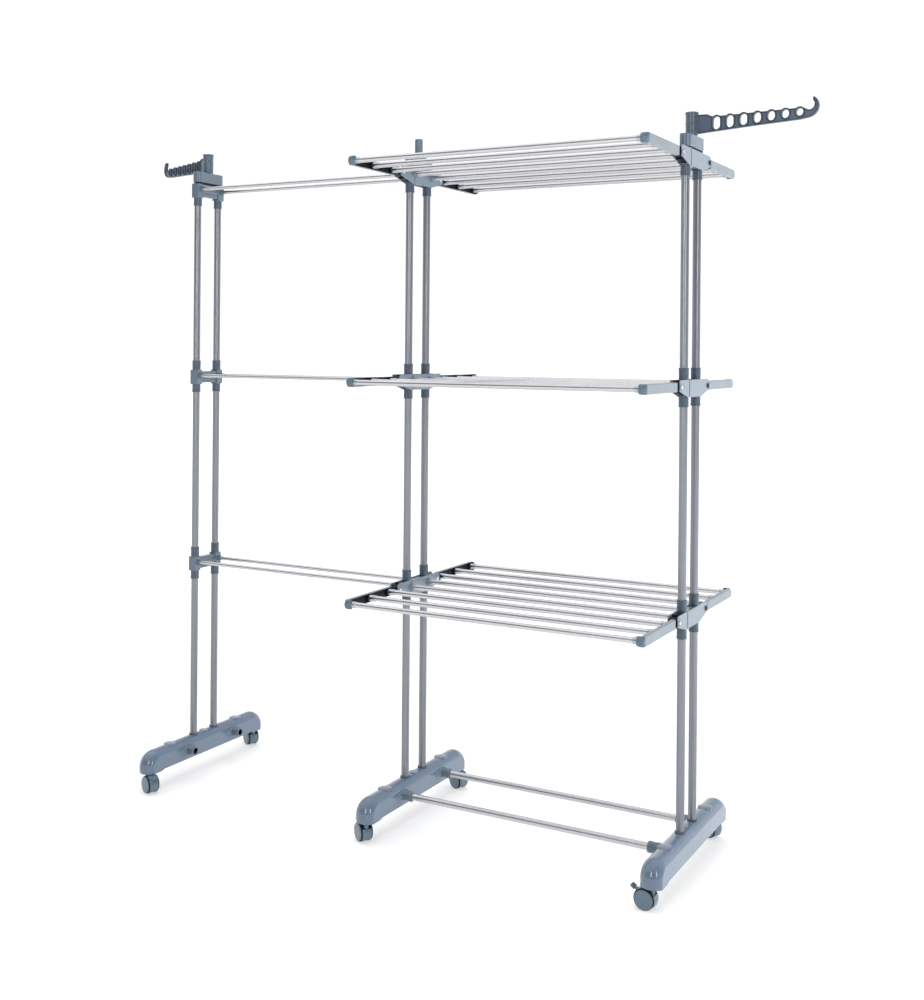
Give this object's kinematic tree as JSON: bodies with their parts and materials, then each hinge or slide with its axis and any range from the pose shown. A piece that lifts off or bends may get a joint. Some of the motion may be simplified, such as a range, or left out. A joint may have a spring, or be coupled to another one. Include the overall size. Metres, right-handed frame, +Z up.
{
  "type": "clothes drying rack",
  "caption": "Clothes drying rack on castors: upright frames joined by tiers of tubes, folding shelf wings in one bay, hanging rods in the other, and swivelling hanger arms.",
  "frame": {"origin": "centre of the bounding box on the floor, under the middle of the overall length and on the centre plane between the posts", "axes": "+X along the rack from the rod bay to the shelf bay, +Y from its front to its back, +Z up"},
  "size_m": [1.9772, 0.627, 1.7395],
  "materials": {
    "foot_plastic": "glossy moulded blue-gray plastic",
    "bracket_plastic": "satin moulded blue-gray plastic",
    "slate_plastic": "satin moulded slate blue plastic",
    "castor_plastic": "glossy moulded blue-gray plastic",
    "post_steel": "satin silver-gray coated steel tube",
    "rail_steel": "satin steel tube",
    "shelf_steel": "polished stainless tube",
    "pin_steel": "bright zinc-plated",
    "arm_paint": "satin light gray-blue coating",
    "black_plastic": "matt black plastic",
    "wheel_plastic": "hard black tread with blue-gray side discs"
  },
  "bodies": {
    "frame": {"foot_left": "foot_plastic", "foot_middle": "foot_plastic", "foot_right": "foot_plastic", "foot_plugs": "foot_plastic", "rail_sockets": "slate_plastic", "post_rings": "foot_plastic", "posts_left": "post_steel", "posts_middle": "post_steel", "posts_right": "post_steel", "brackets_left": "bracket_plastic", "brackets_middle": "bracket_plastic", "brackets_right": "bracket_plastic", "top_caps": "slate_plastic", "bottom_rails": "rail_steel", "centre_rails": "shelf_steel", "extension_rods": "shelf_steel", "hinge_pins": "pin_steel", "hinge_blocks": "black_plastic", "castor_stems": "pin_steel"},
    "wing_low_front": {"wing_low_front_tubes": "shelf_steel", "wing_low_front_arms": "arm_paint", "wing_low_front_liners": "black_plastic", "wing_low_front_caps": "slate_plastic"},
    "wing_low_back": {"wing_low_back_tubes": "shelf_steel", "wing_low_back_arms": "arm_paint", "wing_low_back_liners": "black_plastic", "wing_low_back_caps": "slate_plastic"},
    "wing_mid_front": {"wing_mid_front_tubes": "shelf_steel", "wing_mid_front_arms": "arm_paint", "wing_mid_front_liners": "black_plastic", "wing_mid_front_caps": "slate_plastic"},
    "wing_mid_back": {"wing_mid_back_tubes": "shelf_steel", "wing_mid_back_arms": "arm_paint", "wing_mid_back_liners": "black_plastic", "wing_mid_back_caps": "slate_plastic"},
    "wing_top_front": {"wing_top_front_tubes": "shelf_steel", "wing_top_front_arms": "arm_paint", "wing_top_front_liners": "black_plastic", "wing_top_front_caps": "slate_plastic"},
    "wing_top_back": {"wing_top_back_tubes": "shelf_steel", "wing_top_back_arms": "arm_paint", "wing_top_back_liners": "black_plastic", "wing_top_back_caps": "slate_plastic"},
    "hanger_left": {"hanger_left": "slate_plastic"},
    "hanger_right": {"hanger_right": "slate_plastic"},
    "castor_left_front_fork": {"castor_left_front_hood": "castor_plastic"},
    "castor_left_front_wheels": {"castor_left_front_wheels": "wheel_plastic"},
    "castor_left_front_brake": {"castor_left_front_brake": "arm_paint"},
    "castor_left_back_fork": {"castor_left_back_hood": "castor_plastic"},
    "castor_left_back_wheels": {"castor_left_back_wheels": "wheel_plastic"},
    "castor_middle_front_fork": {"castor_middle_front_hood": "castor_plastic"},
    "castor_middle_front_wheels": {"castor_middle_front_wheels": "wheel_plastic"},
    "castor_middle_front_brake": {"castor_middle_front_brake": "arm_paint"},
    "castor_middle_back_fork": {"castor_middle_back_hood": "castor_plastic"},
    "castor_middle_back_wheels": {"castor_middle_back_wheels": "wheel_plastic"},
    "castor_right_front_fork": {"castor_right_front_hood": "castor_plastic"},
    "castor_right_front_wheels": {"castor_right_front_wheels": "wheel_plastic"},
    "castor_right_front_brake": {"castor_right_front_brake": "arm_paint"},
    "castor_right_back_fork": {"castor_right_back_hood": "castor_plastic"},
    "castor_right_back_wheels": {"castor_right_back_wheels": "wheel_plastic"}
  },
  "joints": [
    {"name": "wing_low_front_hinge", "type": "hinge", "parent": "frame", "child": "wing_low_front", "pos_m": [0.33515, -0.092, 0.586], "axis": [1, 0, 0], "range_deg": [0, 90]},
    {"name": "wing_low_back_hinge", "type": "hinge", "parent": "frame", "child": "wing_low_back", "pos_m": [0.33515, 0.092, 0.586], "axis": [-1, 0, 0], "range_deg": [0, 90]},
    {"name": "wing_mid_front_hinge", "type": "hinge", "parent": "frame", "child": "wing_mid_front", "pos_m": [0.33515, -0.092, 1.107], "axis": [1, 0, 0], "range_deg": [0, 90]},
    {"name": "wing_mid_back_hinge", "type": "hinge", "parent": "frame", "child": "wing_mid_back", "pos_m": [0.33515, 0.092, 1.107], "axis": [-1, 0, 0], "range_deg": [0, 90]},
    {"name": "wing_top_front_hinge", "type": "hinge", "parent": "frame", "child": "wing_top_front", "pos_m": [0.33515, -0.092, 1.628], "axis": [1, 0, 0], "range_deg": [0, 90]},
    {"name": "wing_top_back_hinge", "type": "hinge", "parent": "frame", "child": "wing_top_back", "pos_m": [0.33515, 0.092, 1.628], "axis": [-1, 0, 0], "range_deg": [0, 90]},
    {"name": "hanger_left_swivel", "type": "hinge", "parent": "frame", "child": "hanger_left", "pos_m": [-0.71985, 0, 1.7], "axis": [0, 0, 1], "continuous": true},
    {"name": "hanger_right_swivel", "type": "hinge", "parent": "frame", "child": "hanger_right", "pos_m": [0.69715, 0, 1.7], "axis": [0, 0, 1], "continuous": true},
    {"name": "castor_left_front_swivel", "type": "hinge", "parent": "frame", "child": "castor_left_front_fork", "pos_m": [-0.71985, -0.222, 0.04], "axis": [0, 0, 1], "continuous": true},
    {"name": "castor_left_front_roll", "type": "hinge", "parent": "castor_left_front_fork", "child": "castor_left_front_wheels", "pos_m": [-0.70687, -0.22724, 0.023], "axis": [0.3746, 0.9272, 0], "continuous": true},
    {"name": "castor_left_front_brake_press", "type": "hinge", "parent": "castor_left_front_fork", "child": "castor_left_front_brake", "pos_m": [-0.69667, -0.23136, 0.036], "axis": [0.3746, 0.9272, 0], "range_deg": [0, 18]},
    {"name": "castor_left_back_swivel", "type": "hinge", "parent": "frame", "child": "castor_left_back_fork", "pos_m": [-0.71985, 0.222, 0.04], "axis": [0, 0, 1], "continuous": true},
    {"name": "castor_left_back_roll", "type": "hinge", "parent": "castor_left_back_fork", "child": "castor_left_back_wheels", "pos_m": [-0.73221, 0.22857, 0.023], "axis": [-0.4695, -0.8829, 0], "continuous": true},
    {"name": "castor_middle_front_swivel", "type": "hinge", "parent": "frame", "child": "castor_middle_front_fork", "pos_m": [-0.02685, -0.222, 0.04], "axis": [0, 0, 1], "continuous": true},
    {"name": "castor_middle_front_roll", "type": "hinge", "parent": "castor_middle_front_fork", "child": "castor_middle_front_wheels", "pos_m": [-0.03846, -0.21417, 0.023], "axis": [-0.5592, -0.829, 0], "continuous": true},
    {"name": "castor_middle_front_brake_press", "type": "hinge", "parent": "castor_middle_front_fork", "child": "castor_middle_front_brake", "pos_m": [-0.04758, -0.20802, 0.036], "axis": [-0.5592, -0.829, 0], "range_deg": [0, 18]},
    {"name": "castor_middle_back_swivel", "type": "hinge", "parent": "frame", "child": "castor_middle_back_fork", "pos_m": [-0.02685, 0.222, 0.04], "axis": [0, 0, 1], "continuous": true},
    {"name": "castor_middle_back_roll", "type": "hinge", "parent": "castor_middle_back_fork", "child": "castor_middle_back_wheels", "pos_m": [-0.01416, 0.21608, 0.023], "axis": [0.4226, 0.9063, 0], "continuous": true},
    {"name": "castor_right_front_swivel", "type": "hinge", "parent": "frame", "child": "castor_right_front_fork", "pos_m": [0.69715, -0.222, 0.04], "axis": [0, 0, 1], "continuous": true},
    {"name": "castor_right_front_roll", "type": "hinge", "parent": "castor_right_front_fork", "child": "castor_right_front_wheels", "pos_m": [0.68317, -0.22127, 0.023], "axis": [-0.0523, -0.9986, 0], "continuous": true},
    {"name": "castor_right_front_brake_press", "type": "hinge", "parent": "castor_right_front_fork", "child": "castor_right_front_brake", "pos_m": [0.67218, -0.22069, 0.036], "axis": [-0.0523, -0.9986, 0], "range_deg": [0, 18]},
    {"name": "castor_right_back_swivel", "type": "hinge", "parent": "frame", "child": "castor_right_back_fork", "pos_m": [0.69715, 0.222, 0.04], "axis": [0, 0, 1], "continuous": true},
    {"name": "castor_right_back_roll", "type": "hinge", "parent": "castor_right_back_fork", "child": "castor_right_back_wheels", "pos_m": [0.68446, 0.22792, 0.023], "axis": [-0.4226, -0.9063, 0], "continuous": true}
  ]
}
